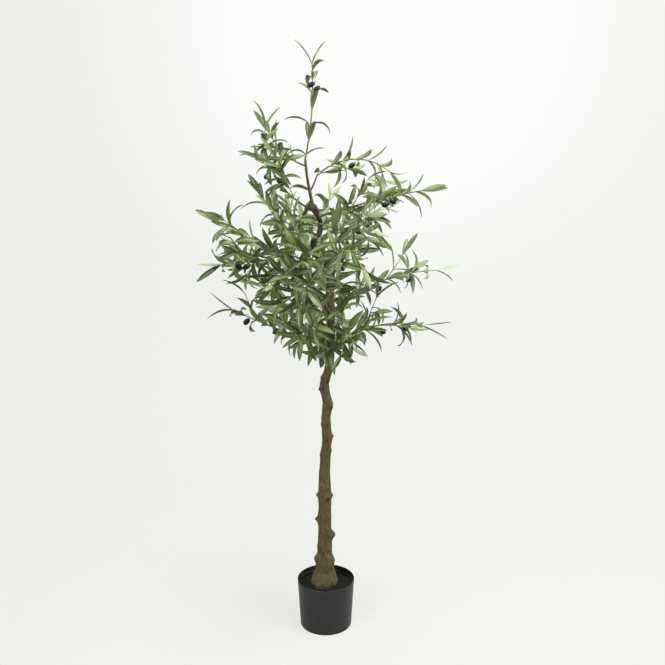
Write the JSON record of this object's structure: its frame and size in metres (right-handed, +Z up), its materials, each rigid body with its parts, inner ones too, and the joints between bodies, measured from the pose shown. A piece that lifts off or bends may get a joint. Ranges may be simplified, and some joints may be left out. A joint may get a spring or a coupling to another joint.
{
  "type": "artificial olive tree",
  "caption": "Slim artificial olive tree: a knotty moulded trunk, wired boughs with narrow leaves and dark olives, in a plain tapered nursery pot.",
  "frame": {"origin": "middle of the pot's flat underside, on the floor", "axes": "+Z up the trunk, -Y towards the viewer of the picture, +X to the viewer's right"},
  "size_m": [0.7738, 0.785, 1.7887],
  "materials": {
    "pot": "satin black injection-moulded plastic",
    "fill": "matt, near-black, granular",
    "bark": "moulded bark, matt olive-brown",
    "foliage": "printed polyester leaves, soft satin green, with near-black glossy olives"
  },
  "bodies": {
    "root": {"pot": "pot", "pot_fill": "fill", "trunk": "bark", "leader_bough": "bark", "upper_right_bough": "bark", "upper_left_bough": "bark", "shoulder_bough": "bark", "high_left_bough": "bark", "left_bough": "bark", "low_left_bough": "bark", "low_right_bough": "bark", "right_bough": "bark", "front_bough": "bark", "right_high_bough": "bark", "leader_spray": "foliage", "upper_left_spray": "foliage", "inner_left_spray": "foliage", "shoulder_spray": "foliage", "high_left_spray": "foliage", "left_spray": "foliage", "low_left_spray": "foliage", "low_right_spray": "foliage", "right_spray": "foliage", "upper_right_spray": "foliage", "right_high_spray": "foliage", "rear_right_spray": "foliage", "front_right_spray": "foliage", "front_spray": "foliage", "low_front_left_spray": "foliage", "low_front_right_spray": "foliage", "rear_left_spray": "foliage", "low_rear_spray": "foliage", "rear_spray": "foliage", "high_rear_spray": "foliage", "high_rear_left_spray": "foliage"}
  },
  "joints": []
}
